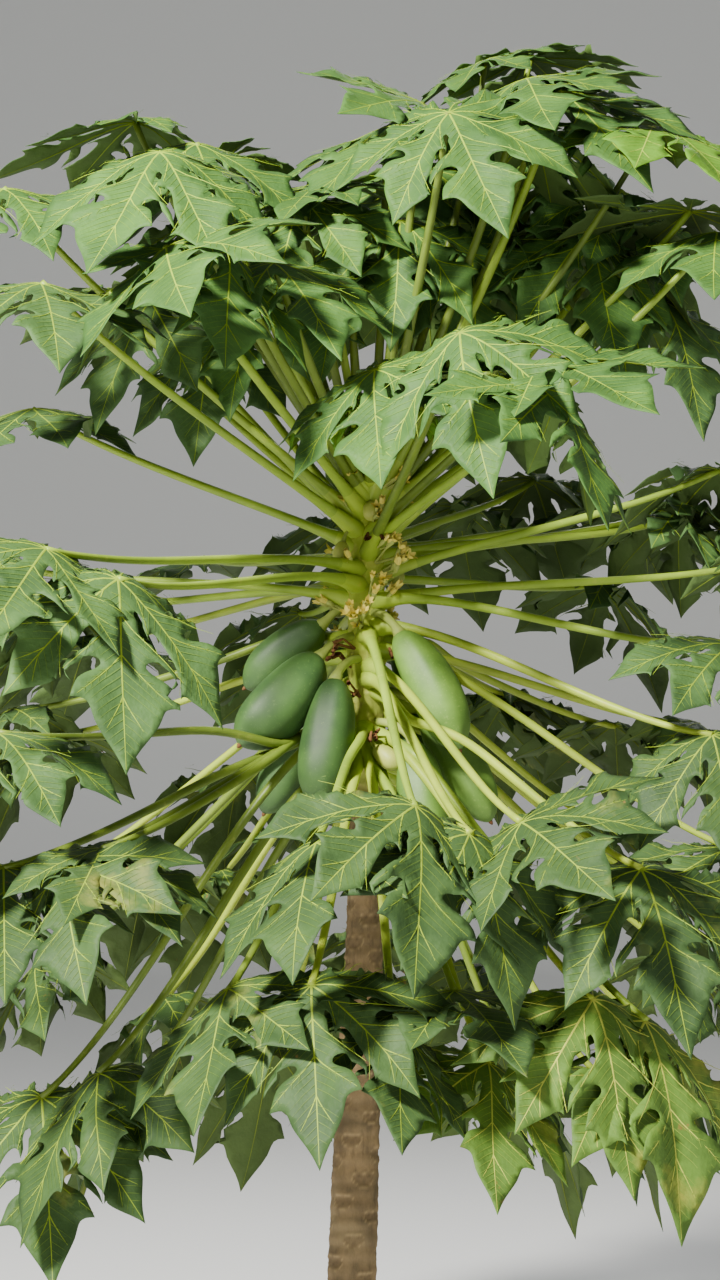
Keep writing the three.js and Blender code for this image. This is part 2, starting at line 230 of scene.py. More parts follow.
def tube(path, radii, sides, flat=1.0, cap=True, twist=0.0, ridge=0.0, ridges=5):
    """closed tube through points; the section can be flattened and ridged"""
    path = np.asarray(path, float)
    n = len(path)
    d = np.gradient(path, axis=0)
    d /= np.linalg.norm(d, axis=1)[:, None]
    ref = np.array([0.0, 0.0, 1.0])
    if abs(d[0] @ ref) > 0.95:
        ref = np.array([0.0, 1.0, 0.0])
    u = np.cross(ref, d[0]); u /= np.linalg.norm(u)
    rings = []
    for i in range(n):
        u = u - d[i] * (u @ d[i]); u /= np.linalg.norm(u)
        w = np.cross(d[i], u)
        a = 2 * np.pi * np.arange(sides) / sides + twist * i
        r = radii[i] * (1 + ridge * np.cos(ridges * a))
        rings.append(path[i] + np.outer(r * np.cos(a), u) + np.outer(flat * r * np.sin(a), w))
    v = np.concatenate(rings)
    f = []
    for i in range(n - 1):
        for j in range(sides):
            a, b = i * sides + j, i * sides + (j + 1) % sides
            f.append((a, b, b + sides, a + sides))
    if cap:
        v = np.vstack([v, path[0], path[-1]])
        k = n * sides
        for j in range(sides):
            f.append((k, (j + 1) % sides, j))
            t = (n - 1) * sides
            f.append((k + 1, t + j, t + (j + 1) % sides))
    uv = np.zeros((len(v), 2))
    uv[:n * sides, 0] = np.tile(np.arange(sides) / sides, n)
    uv[:n * sides, 1] = np.repeat(np.linspace(0, 1, n), sides)
    return v, f, uv

def bezier(p0, p1, p2, p3, n):
    t = np.linspace(0, 1, n)[:, None]
    return ((1 - t) ** 3) * p0 + 3 * ((1 - t) ** 2) * t * p1 + 3 * (1 - t) * t * t * p2 + t ** 3 * p3

# ---------------------------------------------------------------- materials
def material(name, color, rough=0.5, spec=0.5, sheen=0.0):
    m = bpy.data.materials.new(name)
    m.use_nodes = True
    m.diffuse_color = color
    b = m.node_tree.nodes["Principled BSDF"]
    b.inputs["Base Color"].default_value = color
    b.inputs["Roughness"].default_value = rough
    b.inputs["Specular IOR Level"].default_value = spec
    return m, m.node_tree, b

def mix_color(nt, fac, a, b):
    n = nt.nodes.new("ShaderNodeMix"); n.data_type = "RGBA"
    nt.links.new(fac, n.inputs[0])
    for sock, val in ((n.inputs[6], a), (n.inputs[7], b)):
        if hasattr(val, "default_value") or hasattr(val, "is_output"):
            nt.links.new(val, sock)
        else:
            sock.default_value = val
    return n.outputs[2]

def noise(nt, scale, detail=3.0, rough=0.5, vec=None, dist=0.0):
    n = nt.nodes.new("ShaderNodeTexNoise")
    n.inputs["Scale"].default_value = scale
    n.inputs["Detail"].default_value = detail
    n.inputs["Roughness"].default_value = rough
    n.inputs["Distortion"].default_value = dist
    if vec is not None:
        nt.links.new(vec, n.inputs["Vector"])
    return n.outputs["Fac"]

def ramp(nt, fac, lo, hi):
    n = nt.nodes.new("ShaderNodeMapRange")
    n.inputs["From Min"].default_value = lo
    n.inputs["From Max"].default_value = hi
    nt.links.new(fac, n.inputs["Value"])
    return n.outputs["Result"]

def obj_coords(nt, scale=(1, 1, 1)):
    t = nt.nodes.new("ShaderNodeTexCoord")
    mp = nt.nodes.new("ShaderNodeMapping")
    mp.inputs["Scale"].default_value = scale
    nt.links.new(t.outputs["Object"], mp.inputs["Vector"])
    return mp.outputs["Vector"]

def bump(nt, bsdf, height, strength, distance):
    n = nt.nodes.new("ShaderNodeBump")
    n.inputs["Strength"].default_value = strength
    n.inputs["Distance"].default_value = distance
    nt.links.new(height, n.inputs["Height"])
    nt.links.new(n.outputs["Normal"], bsdf.inputs["Normal"])

def math_node(nt, op, a, b=None, c=None):
    n = nt.nodes.new("ShaderNodeMath"); n.operation = op
    for k, val in enumerate((a, b, c)):
        if val is None:
            continue
        if isinstance(val, (int, float)):
            n.inputs[k].default_value = val
        else:
            nt.links.new(val, n.inputs[k])
    return n.outputs[0]

def leaf_material(name, rgb, dark, rough, spec, aged=0.0):
    """blade surface: mottled green, faintly quilted, with yellow patches and brown spots on aged leaves"""
    m, nt, b = material(name, srgb(*rgb), rough, spec)
    vec = obj_coords(nt)
    col = mix_color(nt, ramp(nt, noise(nt, 9.0, 4.0, 0.6, vec), 0.32, 0.68), srgb(*dark), srgb(*rgb))
    if aged:
        yellow = math_node(nt, "MULTIPLY", ramp(nt, noise(nt, 5.0, 5.0, 0.62, vec), 0.62 - 0.06 * aged, 0.72), 0.22 + 0.60 * aged)
        col = mix_color(nt, yellow, col, srgb(184, 176, 70))
        brown = math_node(nt, "MULTIPLY", ramp(nt, noise(nt, 19.0, 4.0, 0.65, vec), 0.70 - 0.03 * aged, 0.74), 0.75)
        col = mix_color(nt, brown, col, srgb(136, 104, 54))
    nt.links.new(col, b.inputs["Base Color"])
    h = math_node(nt, "ADD", noise(nt, 34.0, 2.0, 0.5, vec), math_node(nt, "MULTIPLY", noise(nt, 160.0, 2.0, 0.5, vec), 0.3))
    bump(nt, b, h, 0.45, 0.006)
    return m

# ---------------------------------------------------------------- leaf blade
# lobes from the back left round to the back right: angle, length
LOBES = [(-153, 0.45), (-122, 0.69), (-85, 0.86), (-44, 0.93), (0, 1.10), (44, 0.93), (85, 0.86), (122, 0.69), (153, 0.45)]
# edge of half a lobe: share of its length, half width, pointed or not
LATE = [(0.24, 0.078, 0), (0.30, 0.092, 0), (0.345, 0.130, 0), (0.385, 0.185, 0), (0.43, 0.240, 0), (0.485, 0.292, 0), (0.562, 0.338, 1),
        (0.508, 0.262, 0), (0.470, 0.195, 0), (0.450, 0.140, 0), (0.456, 0.102, 0), (0.482, 0.092, 0), (0.510, 0.118, 0), (0.535, 0.158, 0),
        (0.568, 0.194, 0), (0.612, 0.216, 0), (0.675, 0.244, 1), (0.672, 0.196, 0), (0.684, 0.165, 0), (0.712, 0.149, 0), (0.765, 0.130, 0),
        (0.820, 0.098, 0), (0.875, 0.062, 0), (0.930, 0.031, 0), (0.974, 0.011, 0)]
EARLY = [(0.19, 0.078, 0), (0.24, 0.112, 0), (0.29, 0.148, 0), (0.335, 0.168, 0), (0.392, 0.180, 1), (0.366, 0.134, 0), (0.366, 0.100, 0),
         (0.400, 0.086, 0), (0.450, 0.092, 0), (0.510, 0.108, 0), (0.570, 0.122, 0), (0.625, 0.140, 0), (0.680, 0.172, 0), (0.748, 0.214, 1),
         (0.744, 0.176, 0), (0.758, 0.151, 0), (0.795, 0.130, 0), (0.842, 0.096, 0), (0.892, 0.060, 0), (0.942, 0.029, 0), (0.977, 0.010, 0)]
SMALL = [(0.40, 0.120, 0), (0.52, 0.170, 0), (0.62, 0.200, 1), (0.64, 0.145, 0), (0.72, 0.110, 0), (0.80, 0.100, 1), (0.83, 0.060, 0), (0.92, 0.035, 0)]
# side ribs: where they leave the middle rib, where they end
RIBS = {"late": [((0.21, 0), (0.545, 0.318)), ((0.42, 0), (0.662, 0.226)), ((0.63, 0), (0.80, 0.085))],
        "early": [((0.13, 0), (0.380, 0.162)), ((0.48, 0), (0.736, 0.198)), ((0.68, 0), (0.84, 0.080))],
        "small": [((0.36, 0), (0.605, 0.185)), ((0.60, 0), (0.785, 0.090))]}

def catmull(pts, sub):
    pts = np.asarray(pts, float)
    if len(pts) < 3:
        return pts
    p = np.vstack([2 * pts[0] - pts[1], pts, 2 * pts[-1] - pts[-2]])
    out = []
    t = np.arange(sub)[:, None] / sub
    for i in range(1, len(p) - 2):
        a, b, c, d = p[i - 1], p[i], p[i + 1], p[i + 2]
        out.append(0.5 * ((2 * b) + (c - a) * t + (2 * a - 5 * b + 4 * c - d) * t ** 2 + (3 * b - a - 3 * c + d) * t ** 3))
    out.append(pts[-1:])
    return np.vstack(out)

def shift(p):       # the gap between two lobes swings to and fro, so that their side lobes interlock
    return float(np.interp(p, [0.28, 0.36, 0.42, 0.477, 0.543, 0.615, 0.69, 0.73, 0.78, 1.0], [0, -5.0, -3.0, 3.0, 7.0, 9.3, 9.3, 4.0, 0, 0]))

def spare(p):
    return float(np.interp(p, [0.26, 0.42, 0.64, 0.80, 1.0], [4.0, 1.3, 1.0, 1.4, 3.0]))

def inside(poly, x, y):
    """which points lie in a closed polygon"""
    x0, y0 = poly[:, 0], poly[:, 1]
    x1, y1 = np.roll(x0, -1), np.roll(y0, -1)
    X, Y = np.asarray(x)[..., None], np.asarray(y)[..., None]
    dy = np.where(np.abs(y1 - y0) < 1e-12, 1e-12, y1 - y0)
    cross = ((y0 > Y) != (y1 > Y)) & (X < (x1 - x0) * (Y - y0) / dy + x0)
    return cross.sum(axis=-1) % 2 == 1

# how far a lobe reaches out and down when it droops from flat by an angle K that it soon reaches
DROOP_K = np.linspace(-30, 120, 61)
DROOP_R = np.linspace(0, 1.2, 121)
def droop_tables(r0=0.22):
    psi = np.radians(DROOP_K)[:, None] * (1 - np.exp(-DROOP_R / r0))[None, :]
    d = DROOP_R[1]
    rho = np.concatenate([np.zeros((len(DROOP_K), 1)), np.cumsum((np.cos(psi[:, 1:]) + np.cos(psi[:, :-1])) / 2 * d, axis=1)], axis=1)
    dn = np.concatenate([np.zeros((len(DROOP_K), 1)), np.cumsum((np.sin(psi[:, 1:]) + np.sin(psi[:, :-1])) / 2 * d, axis=1)], axis=1)
    return rho, dn, psi
RHO, DOWN, PSI = droop_tables()

def table(tab, k, r):
    k = np.clip((np.asarray(k, float) - DROOP_K[0]) / (DROOP_K[1] - DROOP_K[0]), 0, len(DROOP_K) - 1.001)
    r = np.clip(np.asarray(r, float) / DROOP_R[1], 0, len(DROOP_R) - 1.001)
    i, j = k.astype(int), r.astype(int)
    u, v = k - i, r - j
    return (tab[i, j] * (1 - u) + tab[i + 1, j] * u) * (1 - v) + (tab[i, j + 1] * (1 - u) + tab[i + 1, j + 1] * u) * v

class Blade:
    """flat blade in shares of its length: outline, triangles, ribs"""
    def __init__(self, rng, lobes, step, sub, narrow=1.0):
        n = len(lobes)
        self.ang = [a + rng.uniform(-2.5, 2.5) * (abs(a) > 1) for a, _ in lobes]
        self.len = [l * (1 + rng.uniform(-0.05, 0.05) * (abs(a) > 1)) for a, l in lobes]
        self.kind, self.edge, loop = [], [], []  # loop: x, y, pointed
        mids = [(self.ang[i] + self.ang[i + 1]) / 2 for i in range(n - 1)]
        for i in range(n):
            a, l = rad(self.ang[i]), self.len[i]
            big = l > 0.7
            kinds, edges = [], []
            for side in (-1, 1):                 # right edge outwards, then left edge back
                inner = (side > 0) == (self.ang[i] < 0) and abs(self.ang[i]) > 1
                kind = "small" if not big else ("early" if inner else "late")
                kinds.append(kind)
                prof = {"late": LATE, "early": EARLY, "small": SMALL}[kind]
                k = i + side
                if 0 <= k < n:
                    half = abs(self.ang[k] - self.ang[i]) / 2
                    ln = (self.len[k] + l) / 2
                else:
                    half, ln = 28.0, l
                grow = narrow * rng.uniform(0.86, 1.12)
                pts, seen = [], []
                for s, w, sharp in prof:
                    w *= grow
                    p = math.hypot(s, w) * l / ln
                    sh = 0.0 if not (0 <= k < n) else (shift(p) if kind != "early" else -shift(p))
                    if kind == "small":
                        sh = 0.0
                    cap = s * math.tan(rad(max(5.0, half + sh - spare(p))))
                    w = min(w, cap)
                    seen.append((s, w))
                    w *= side
                    pts.append((l * (s * math.cos(a) - w * math.sin(a)), l * (s * math.sin(a) + w * math.cos(a)), sharp))
                tip = (l * math.cos(a), l * math.sin(a), 1)
                loop += pts + [tip] if side < 0 else pts[::-1]
                edges.append(np.array([(0.0, 0.05)] + seen + [(1.0, 0.0)]))
            self.kind.append(kinds)
            self.edge.append(edges)
            if i < n - 1:
                m, r = mids[i], (0.225 + rng.uniform(-0.02, 0.03)) * min(l, self.len[i + 1])
                for da, dr in ((-5, 0.035), (0, 0), (5, 0.035)):
                    loop.append(((r + dr) * math.cos(rad(m + da)), (r + dr) * math.sin(rad(m + da)), 0))
        loop += [(-0.085, 0.03, 0), (-0.05, 0.0, 0), (-0.085, -0.03, 0)]
        sharp = [i for i, p in enumerate(loop) if p[2]]
        loop = loop[sharp[0]:] + loop[:sharp[0]]
        sharp = [i for i, p in enumerate(loop) if p[2]] + [len(loop)]
        loop.append(loop[0])
        edge = np.vstack([catmull([p[:2] for p in loop[sharp[i]:sharp[i + 1] + 1]], sub)[:-1] for i in range(len(sharp) - 1)])
        mid = []
        for a, l in zip(self.ang, self.len):
            for s in np.arange(0.06, 0.965, step * 0.75):
                mid.append((l * s * math.cos(rad(a)), l * s * math.sin(rad(a))))
        mid.append((0.0, 0.0))
        mid = np.array(mid)
        ys = np.arange(-1.10, 1.10, step * 0.866)
        grid = np.array([(x + (step / 2 if k % 2 else 0), y) for k, y in enumerate(ys) for x in np.arange(-0.65, 1.14, step)])
        grid = grid + rng.uniform(-0.12, 0.12, grid.shape) * step
        def far(q, pts, d):
            keep = np.ones(len(q), bool)
            for s in range(0, len(q), 400):
                dd = np.linalg.norm(q[s:s + 400, None, :] - pts[None, :, :], axis=2).min(axis=1)
                keep[s:s + 400] = dd > d
            return q[keep]
        mid = far(mid, edge, step * 0.3)
        grid = far(far(grid, edge, step * 0.5), mid, step * 0.6)
        pts = np.vstack([edge, mid, grid])
        ne = len(edge)
        v, _, f, ov, _, _ = geometry.delaunay_2d_cdt([Vector(p) for p in pts], [], [list(range(ne))], 1, 1e-6)
        self.xy = np.array([(p.x, p.y) for p in v])
        tri = np.array([t for t in f if len(t) == 3])
        a, b, c = (self.xy[tri[:, k]] for k in range(3))
        area = (b[:, 0] - a[:, 0]) * (c[:, 1] - a[:, 1]) - (c[:, 0] - a[:, 0]) * (b[:, 1] - a[:, 1])
        tri = tri[np.abs(area) > 1e-9]
        area = area[np.abs(area) > 1e-9]
        tri[area < 0] = tri[area < 0][:, ::-1]
        self.tri = tri
        e = {}
        for t in tri:
            for k in range(3):
                key = (int(t[k]), int(t[(k + 1) % 3]))
                e[key] = 1
        self.rim = [k for k in e if (k[1], k[0]) not in e]
        self.lobe, self.s, self.w = self.locate(self.xy)

    def locate(self, xy):
        r, ph = np.hypot(xy[:, 0], xy[:, 1]), np.degrees(np.arctan2(xy[:, 1], xy[:, 0]))
        d = np.stack([np.abs((ph - a + 180) % 360 - 180) for a in self.ang])
        lobe = d.argmin(axis=0)
        a = np.radians(np.array(self.ang)[lobe]); l = np.array(self.len)[lobe]
        s = (xy[:, 0] * np.cos(a) + xy[:, 1] * np.sin(a)) / l
        w = (-xy[:, 0] * np.sin(a) + xy[:, 1] * np.cos(a)) / l
        return lobe, s, w

    def ribs(self):
        """middle and side ribs: polyline, lobe, half width at each point"""
        out = []
        for i, (a, l) in enumerate(zip(self.ang, self.len)):
            a = rad(a)
            def at(s, w):
                return (l * (s * math.cos(a) - w * math.sin(a)), l * (s * math.sin(a) + w * math.cos(a)))
            ss = np.linspace(0.0, 0.975, 12)
            out.append((np.array([at(s, 0) for s in ss]), i, (0.0056 * (1 - ss) ** 0.8 + 0.0009) * (0.6 + 0.4 * l)))
            for side, kind in zip((-1, 1), self.kind[i]):
                k = i + side
                half = abs(self.ang[k] - self.ang[i]) / 2 if 0 <= k < len(self.ang) else 28.0
                for (s0, _), (s1, w1) in RIBS[kind]:
                    w1 = min(w1, s1 * math.tan(rad(half + (7.5 if kind == "late" and w1 > 0.25 else 0))) * 0.93)
                    t = np.linspace(0, 0.97, 5)
                    pts = [at(s0 + (s1 - s0) * q, side * w1 * q ** 1.15) for q in t]
                    out.append((np.array(pts), i, 0.0027 * (1 - t) ** 0.7 + 0.0006))
        return out

    def veins(self):
        """fine veins between the ribs: start, middle, end, lobe"""
        out = []
        q = np.arange(0.0, 0.205, 0.01)
        for i, (a, l) in enumerate(zip(self.ang, self.len)):
            a = rad(a)
            def at(s, w):
                return (l * (s * math.cos(a) - w * math.sin(a)), l * (s * math.sin(a) + w * math.cos(a)))
            for side, kind, edge in zip((-1, 1), self.kind[i], self.edge[i]):
                ribs = RIBS[kind]
                poly = np.vstack([edge, [(1.0, -0.001), (0.0, -0.001)]])
                ss = np.arange(0.10 + (0.022 if side > 0 else 0), 0.93, 0.047 / max(0.6, l))
                ss = np.array([s for s in ss if min(abs(s - r[0][0]) for r in ribs) > 0.016])
                S = ss[:, None] + 0.75 * q[None, :] + 0.9 * q[None, :] ** 2
                W = np.repeat(q[None, :], len(ss), axis=0)
                ok = inside(poly, S, W)
                ok[:, 0] = True
                for (r0, _), (r1, w1) in ribs:               # a vein stops at a side rib
                    f = np.clip((S - r0) / (r1 - r0), 0, None)
                    ok &= ~((S > r0) & (ss[:, None] < r0) & (W < w1 * np.minimum(f, 1.0) ** 1.15) & (W > 0.0) & (f <= 1.0)) | (q[None, :] == 0)
                n = np.where(ok.all(axis=1), len(q), np.argmin(ok, axis=1)) - 1
                for s0, k, row in zip(ss, n, S):
                    w = q[k] * 0.92
                    if w > 0.028:
                        s = s0 + (row[k] - s0) * 0.92
                        out.append((at(s0, side * 0.004), at(s0 + (s - s0) * 0.45, side * w * 0.5), at(s, side * w), i))
                for (s0, _), (s1, w1) in ribs[:2]:
                    for f in (0.36, 0.52, 0.68, 0.82):
                        c = np.array([s0 + (s1 - s0) * f, w1 * f ** 1.15])
                        for d in ((1.0, 0.22), (0.25, 1.0)):
                            e = c + np.array(d) * 0.052 * (1.3 - f)
                            if inside(poly, e[0], e[1]):
                                out.append((at(c[0], side * c[1]), at((c[0] + e[0]) / 2, side * (c[1] + e[1]) / 2), at(e[0], side * e[1]), i))
        return out

def smooth(x, lo, hi):
    t = np.clip((x - lo) / (hi - lo), 0, 1)
    return t * t * (3 - 2 * t)

def leaf_frame(facing, hang, roll):
    h, p, q = rad(facing), rad(hang), rad(roll)
    a = np.array([math.cos(h) * math.cos(p), math.sin(h) * math.cos(p), -math.sin(p)])
    b = np.array([-math.sin(h), math.cos(h), 0.0])
    n = np.cross(a, b)
    return a, b * math.cos(q) + n * math.sin(q), -b * math.sin(q) + n * math.cos(q)

def leaf(rng, hub, size, facing, hang, roll, bags, lobes=LOBES, step=0.036, sub=3, fold=None, droop=1.0, narrow=1.0, lift=1.0, veins=True, limit=None):
    """one blade with its ribs, added to the bags of its class: flat round its hub, its lobes drooping all round it"""
    blades, ribs = bags
    bl = Blade(rng, lobes, step, sub, narrow)
    n_l = len(bl.ang)
    k0 = min(27.0, 10 + 0.27 * max(0, hang)) * droop
    out1, dn1 = float(table(RHO, k0, 1.0)), float(table(DOWN, k0, 1.0))
    size = size / math.hypot(out1, dn1)
    flat = hang - math.degrees(math.atan2(dn1, out1))       # tilt of the blade at its hub
    a, b, n = leaf_frame(facing, flat, 0)
    tip = (a * out1 - n * dn1) / math.hypot(out1, dn1)
    a, b, n = (c * math.cos(rad(roll)) + np.cross(tip, c) * math.sin(rad(roll)) + tip * float(tip @ c) * (1 - math.cos(rad(roll))) for c in (a, b, n))
    def k_of(deg):
        c = np.cos(np.radians(deg))
        return k0 + (12 + 70 * max(0.0, math.sin(rad(flat)))) * lift * ((1 - c) / 2) ** 1.5
    k_lobe = k_of(np.array(bl.ang)) + rng.uniform(-8, 8, n_l) * (np.abs(np.array(bl.ang)) > 1)
    hangs = 0.16 * max(0.0, math.sin(rad(flat))) * np.sin(np.radians(np.array(bl.ang)))
    fold = rng.uniform(0.12, 0.34) if fold is None else fold
    sway = rng.uniform(-0.06, 0.06, n_l)
    wave, ph, ph2 = rng.uniform(0.008, 0.018), rng.uniform(0, 6.28, n_l), rng.uniform(0, 6.28)
    lens, angs = np.array(bl.len), np.radians(np.array(bl.ang))
    def place(xy, lobe, s, w, off):
        r = np.hypot(xy[:, 0], xy[:, 1])
        th = np.arctan2(xy[:, 1], xy[:, 0])
        l = lens[lobe]
        z = fold * np.abs(w) * l * smooth(s, 0.12, 0.45) * (1 - 0.5 * smooth(s, 0.7, 1.0))
        z = z - 0.55 * fold * np.maximum(0, np.abs(w) - 0.12) * l       # side lobes turn down again
        z = z + wave * np.sin(17 * s + ph[lobe] + 2.5 * np.sign(w)) * np.minimum(1, np.abs(w) / 0.16) * smooth(s, 0.2, 0.5)
        z = z + 0.010 * np.sin(5 * xy[:, 0] + 4 * xy[:, 1] + ph2)
        w2 = w + (sway[lobe] - hangs[lobe]) * np.maximum(0, s - 0.2) ** 2
        def polar(ang, rr, k, side):
            psi = table(PSI, k, rr)
            e = np.cos(ang)[:, None] * a + np.sin(ang)[:, None] * b
            t = -np.sin(ang)[:, None] * a + np.cos(ang)[:, None] * b
            nn = np.cos(psi)[:, None] * n + np.sin(psi)[:, None] * e
            p = e * table(RHO, k, rr)[:, None] - n * table(DOWN, k, rr)[:, None] + t * side[:, None]
            return p + nn * z[:, None], nn
        p1, n1 = polar(th, r, k_of(np.degrees(th)), np.zeros(len(r)))
        p2, n2 = polar(angs[lobe], np.maximum(0, s * l), k_lobe[lobe], w2 * l)
        m = smooth(r, 0.12, 0.34)[:, None]
        nn = n1 * (1 - m) + n2 * m
        return hub + size * (p1 * (1 - m) + p2 * m) + nn * np.asarray(off)[:, None]
    m = len(bl.xy)
    thin = np.full(m, 0.0005)
    v = np.vstack([place(bl.xy, bl.lobe, bl.s, bl.w, thin), place(bl.xy, bl.lobe, bl.s, bl.w, -thin)])
    t = bl.tri
    faces = [tuple(k) for k in t] + [tuple(k) for k in (t[:, ::-1] + m)] + [(i, i + m, j + m, j) for i, j in bl.rim]
    uv = np.stack([bl.s, bl.w], axis=1)
    mats = np.zeros(len(faces), int)
    mats[len(t):2 * len(t)] = 1
    if limit is not None:                # a leaf that would reach past the box is moved in
        over = np.maximum(0, limit[0] - v.min(axis=0)) - np.maximum(0, v.max(axis=0) - limit[1])
        if np.abs(over).max() > 1e-4:
            v = v + over
            hub = hub + over
    blades.add(v, faces, mats, np.vstack([uv, uv]))
    for pts, lobe, hw in bl.ribs():
        hw = hw * size
        d = np.gradient(pts, axis=0); d /= np.linalg.norm(d, axis=1)[:, None]
        nn = np.stack([-d[:, 1], d[:, 0]], axis=1)
        for sgn, hgt, wide in (((1, 0.45, 1.0), (-1, 1.1, 0.9)) if len(pts) > 8 else ((1, 0.45, 1.0),)):
            rows = []
            for k, up in ((-1, 0.0), (0, 1.0), (1, 0.0)):
                q = pts + nn * (k * wide * hw / size)[:, None]
                lo, s, w = np.full(len(q), lobe), None, None
                aa = rad(bl.ang[lobe]); l = bl.len[lobe]
                s = (q[:, 0] * math.cos(aa) + q[:, 1] * math.sin(aa)) / l
                w = (-q[:, 0] * math.sin(aa) + q[:, 1] * math.cos(aa)) / l
                rows.append(place(q, lo, s, w, sgn * (0.0010 + up * hgt * hw)))
            vv = np.vstack(rows); k = len(pts)
            ff = []
            for i in range(k - 1):
                for j in (0, 1):
                    q4 = (j * k + i, j * k + i + 1, (j + 1) * k + i + 1, (j + 1) * k + i)
                    ff.append(q4[::-1] if sgn > 0 else q4)
            ribs.add(vv, ff, 0 if sgn > 0 else 1)
    if veins:
        vs = bl.veins() if sub > 1 else bl.veins()[::2]
        if vs:
            lo = np.array([v[3] for v in vs])
            ln = [np.array([v[k] for v in vs]) for k in range(3)]
            d = ln[2] - ln[0]; d /= np.linalg.norm(d, axis=1)[:, None] + 1e-9
            nn = np.stack([-d[:, 1], d[:, 0]], axis=1)
            cols = []
            k_row = 3 if sub > 1 else 2
            for c, hw in (zip(ln, (0.0016, 0.0013, 0.0005)) if k_row == 3 else ((ln[0], 0.0016), (ln[2], 0.0006))):
                for k in (-1, 1):
                    q = c + nn * k * hw
                    aa, l = angs[lo], lens[lo]
                    cols.append(place(q, lo, (q[:, 0] * np.cos(aa) + q[:, 1] * np.sin(aa)) / l, (-q[:, 0] * np.sin(aa) + q[:, 1] * np.cos(aa)) / l, np.full(len(q), 0.0017)))
            vv = np.stack(cols, axis=1).reshape(-1, 3)
            ff = []
            for i in range(len(vs)):
                o = 2 * k_row * i
                ff += [(o + 2 * k, o + 2 * k + 2, o + 2 * k + 3, o + 2 * k + 1) for k in range(k_row - 1)]
            ribs.add(vv, ff, 2)
    return hub

# ---------------------------------------------------------------- leaf stalk
def leaf_hub(row):
    h, az, reach, climb = row[0] / 1000, row[1], row[2] / 1000, row[3] / 1000
    x, y, _ = stem_at(h)
    return np.array([x + reach * math.cos(rad(az)), y + reach * math.sin(rad(az)), h + climb])

def stalk_path(row, end, n=30):
    h = row[0] / 1000
    x, y, r = stem_at(h)
    out = np.array([end[0] - x, end[1] - y, 0.0]); reach = float(np.linalg.norm(out)); out /= reach
    climb = end[2] - h
    start = np.array([x, y, h]) + out * r * 0.5
    span = math.hypot(reach, climb)
    slope = math.degrees(math.atan2(climb, reach))
    lift = min(30, max(-4, 14 - 0.45 * slope))
    def along(deg):
        return out * math.cos(rad(deg)) + np.array([0, 0, math.sin(rad(deg))])
    return bezier(start, start + along(slope + lift) * span * 0.24, end - along(slope + 9) * span * 0.3, end, n)

# ---------------------------------------------------------------- looks
# leaf classes by age: lit colour, mottle, ribs, underside
CLASSES = [
    ("young", (100, 146, 38), (78, 120, 34), (164, 188, 62), (98, 134, 46)),
    ("upper", (80, 118, 52), (56, 88, 42), (148, 176, 42), (82, 108, 50)),
    ("middle", (78, 110, 56), (56, 82, 44), (144, 168, 44), (80, 102, 52)),
    ("lower", (70, 97, 50), (49, 72, 38), (144, 166, 46), (80, 100, 50)),
    ("old", (98, 132, 50), (74, 102, 42), (186, 194, 76), (98, 118, 50)),
]
def rib_material(name, rgb):
    m, nt, b = material(name, srgb(*rgb), 0.55, 0.2)
    vec = obj_coords(nt)
    nt.links.new(mix_color(nt, ramp(nt, noise(nt, 30.0, 2.0, 0.5, vec), 0.3, 0.7), srgb(*[int(c * 0.9) for c in rgb]), srgb(*rgb)), b.inputs["Base Color"])
    return m

LEAF_MATS, RIB_MATS = {}, {}
for name, top, dark, vein, under in CLASSES:
    aged = {"lower": 0.1, "old": 0.5}.get(name, 0.0)
    LEAF_MATS[name] = [leaf_material("leaf_top_" + name, top, dark, 0.60, 0.20, aged),
                       leaf_material("leaf_under_" + name, under, tuple(int(c * 0.86) for c in under), 0.68, 0.18, aged)]
    fine = tuple(int(0.62 * t + 0.38 * v) for t, v in zip(top, vein))
    RIB_MATS[name] = [rib_material("rib_top_" + name, vein), rib_material("rib_under_" + name, tuple(int(0.80 * c) for c in vein)), rib_material("vein_" + name, fine)]

def stalk_material(name, rgb, dark, tint):
    m, nt, b = material(name, srgb(*rgb), 0.45, 0.32)
    vec = obj_coords(nt)
    base = mix_color(nt, ramp(nt, noise(nt, 6.0, 3.0, 0.6, vec), 0.35, 0.65), srgb(*dark), srgb(*rgb))
    base = mix_color(nt, math_node(nt, "MULTIPLY", ramp(nt, noise(nt, 55.0, 3.0, 0.6, vec), 0.60, 0.72), 0.5), base, srgb(*tint))
    nt.links.new(base, b.inputs["Base Color"])
    bump(nt, b, noise(nt, 90.0, 3.0, 0.5, vec), 0.18, 0.002)
    return m

STALK_MATS = [stalk_material("stalk_olive_and_painted_shade", (112, 132, 42), (88, 108, 34), (142, 150, 62)),
              stalk_material("stalk_green", (148, 174, 52), (124, 150, 44), (168, 176, 72)),
              stalk_material("stalk_yellow", (168, 186, 58), (142, 162, 48), (166, 152, 62)),
              stalk_material("stalk_foot_painted_highlight", (170, 192, 62), (144, 168, 50), (182, 178, 76))]

def klass_of(age):
    return CLASSES[0 if age < 0.08 else 1 if age < 0.38 else 2 if age < 0.58 else 3 if age < 0.80 else 4][0]
